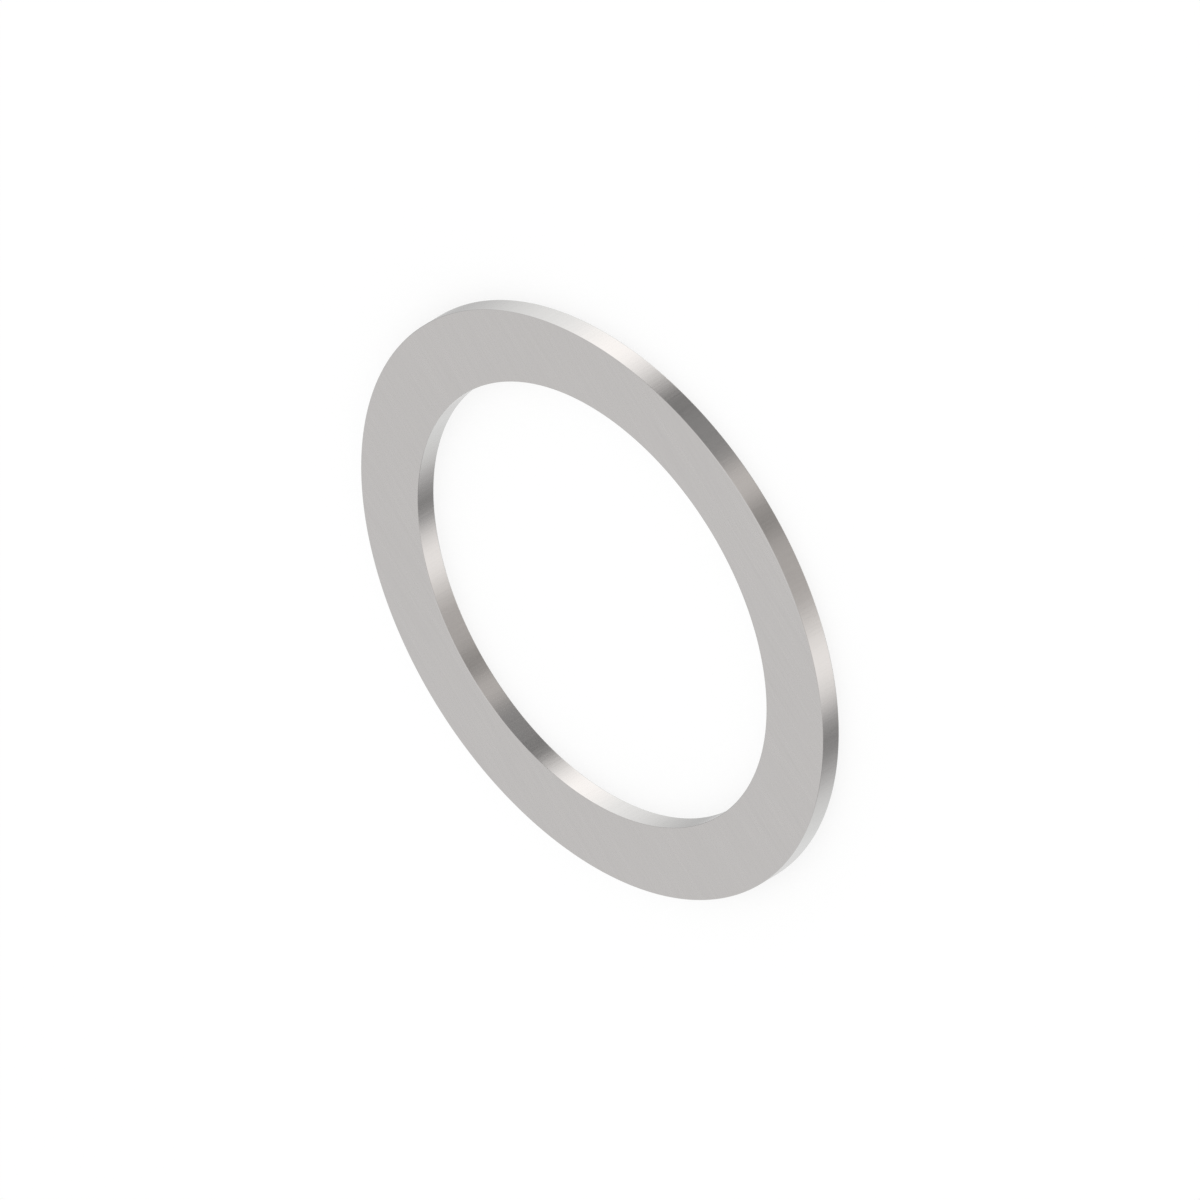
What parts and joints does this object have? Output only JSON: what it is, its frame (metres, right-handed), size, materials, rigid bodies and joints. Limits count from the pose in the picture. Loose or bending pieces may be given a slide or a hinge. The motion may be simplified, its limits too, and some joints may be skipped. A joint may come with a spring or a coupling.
{
  "type": "flat shim washer",
  "caption": "Thin flat steel ring with a large round bore and plain parallel faces, slipped over a shaft or bolt as a washer, shim or spacer.",
  "frame": {"origin": "centre of the lower face, on the bore's axis", "axes": "+Z along the bore's axis, out through the upper face; X and Y lie in the lower face, and any turn about Z is alike"},
  "size_m": [0.0254, 0.0254, 0.0009],
  "materials": {
    "washer_steel": "bright bare steel, fine satin on the faces, smooth on the rim and in the bore"
  },
  "bodies": {
    "root": {"washer": "washer_steel"}
  },
  "joints": []
}
